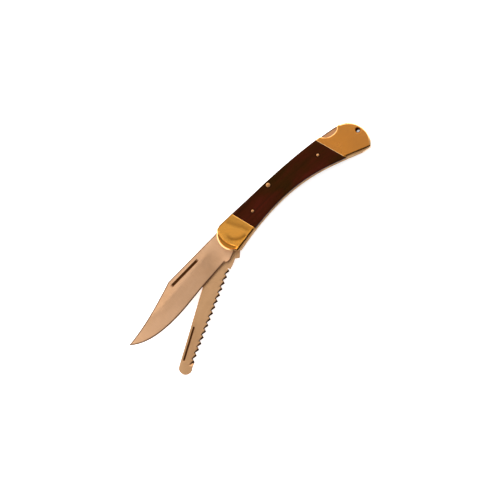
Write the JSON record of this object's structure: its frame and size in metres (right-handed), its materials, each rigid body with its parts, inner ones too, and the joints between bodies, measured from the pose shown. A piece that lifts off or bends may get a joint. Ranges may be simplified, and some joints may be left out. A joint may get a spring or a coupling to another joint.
{
  "type": "folding knife",
  "caption": "Large folding lockback knife with a clip-point blade and a saw blade on one pivot, wood scales, brass bolsters, a spine lock bar and a lanyard hole.",
  "frame": {"origin": "the middle of the knife's extents in X and Y, on the flat pile-side face that it rests on", "axes": "+X runs along the handle to the butt, +Y to the spine, +Z from the pile side up to the mark side, where the nail nicks are"},
  "size_m": [0.2287, 0.059, 0.0166],
  "materials": {
    "scale_wood": "polished dark reddish brown wood with fine dark grain",
    "bolster_brass": "polished brass",
    "liner_brass": "satin brass sheet",
    "pin_brass": "polished brass, peened flush",
    "blade_steel": "satin ground steel",
    "lock_steel": "satin steel"
  },
  "bodies": {
    "handle": {"mark_side_scale": "scale_wood", "pile_side_scale": "scale_wood", "mark_side_front_bolster": "bolster_brass", "pile_side_front_bolster": "bolster_brass", "mark_side_rear_bolster": "bolster_brass", "pile_side_rear_bolster": "bolster_brass", "mark_side_liner": "liner_brass", "pile_side_liner": "liner_brass", "centre_liner": "liner_brass", "lock_spring": "lock_steel", "butt_spacer": "liner_brass", "blade_pivot_pin": "bolster_brass", "lock_bar_pin": "pin_brass", "mark_side_front_rivet": "pin_brass", "mark_side_rear_rivet": "pin_brass", "pile_side_front_rivet": "pin_brass", "pile_side_rear_rivet": "pin_brass", "butt_pins": "bolster_brass", "lanyard_tube": "pin_brass"},
    "main_blade": {"main_blade": "blade_steel"},
    "saw_blade": {"saw_blade": "blade_steel"},
    "lock_bar": {"lock_bar": "lock_steel"}
  },
  "joints": [
    {"name": "main_blade_pivot", "type": "hinge", "parent": "handle", "child": "main_blade", "pos_m": [-0.00515, 0.01713, 0.0098], "axis": [0, 0, 1], "range_deg": [0, 171.5]},
    {"name": "saw_blade_pivot", "type": "hinge", "parent": "handle", "child": "saw_blade", "pos_m": [-0.00515, 0.01713, 0.0064], "axis": [0, 0, 1], "range_deg": [-27.9, 147.5]},
    {"name": "lock_release", "type": "hinge", "parent": "handle", "child": "lock_bar", "pos_m": [0.03744, 0.02443, 0.0083], "axis": [0, 0, -1], "range_deg": [0, 1.5], "stiffness_Nm_per_rad": 2, "springref_deg": -8.59, "deforming": ["lock_spring"]}
  ]
}
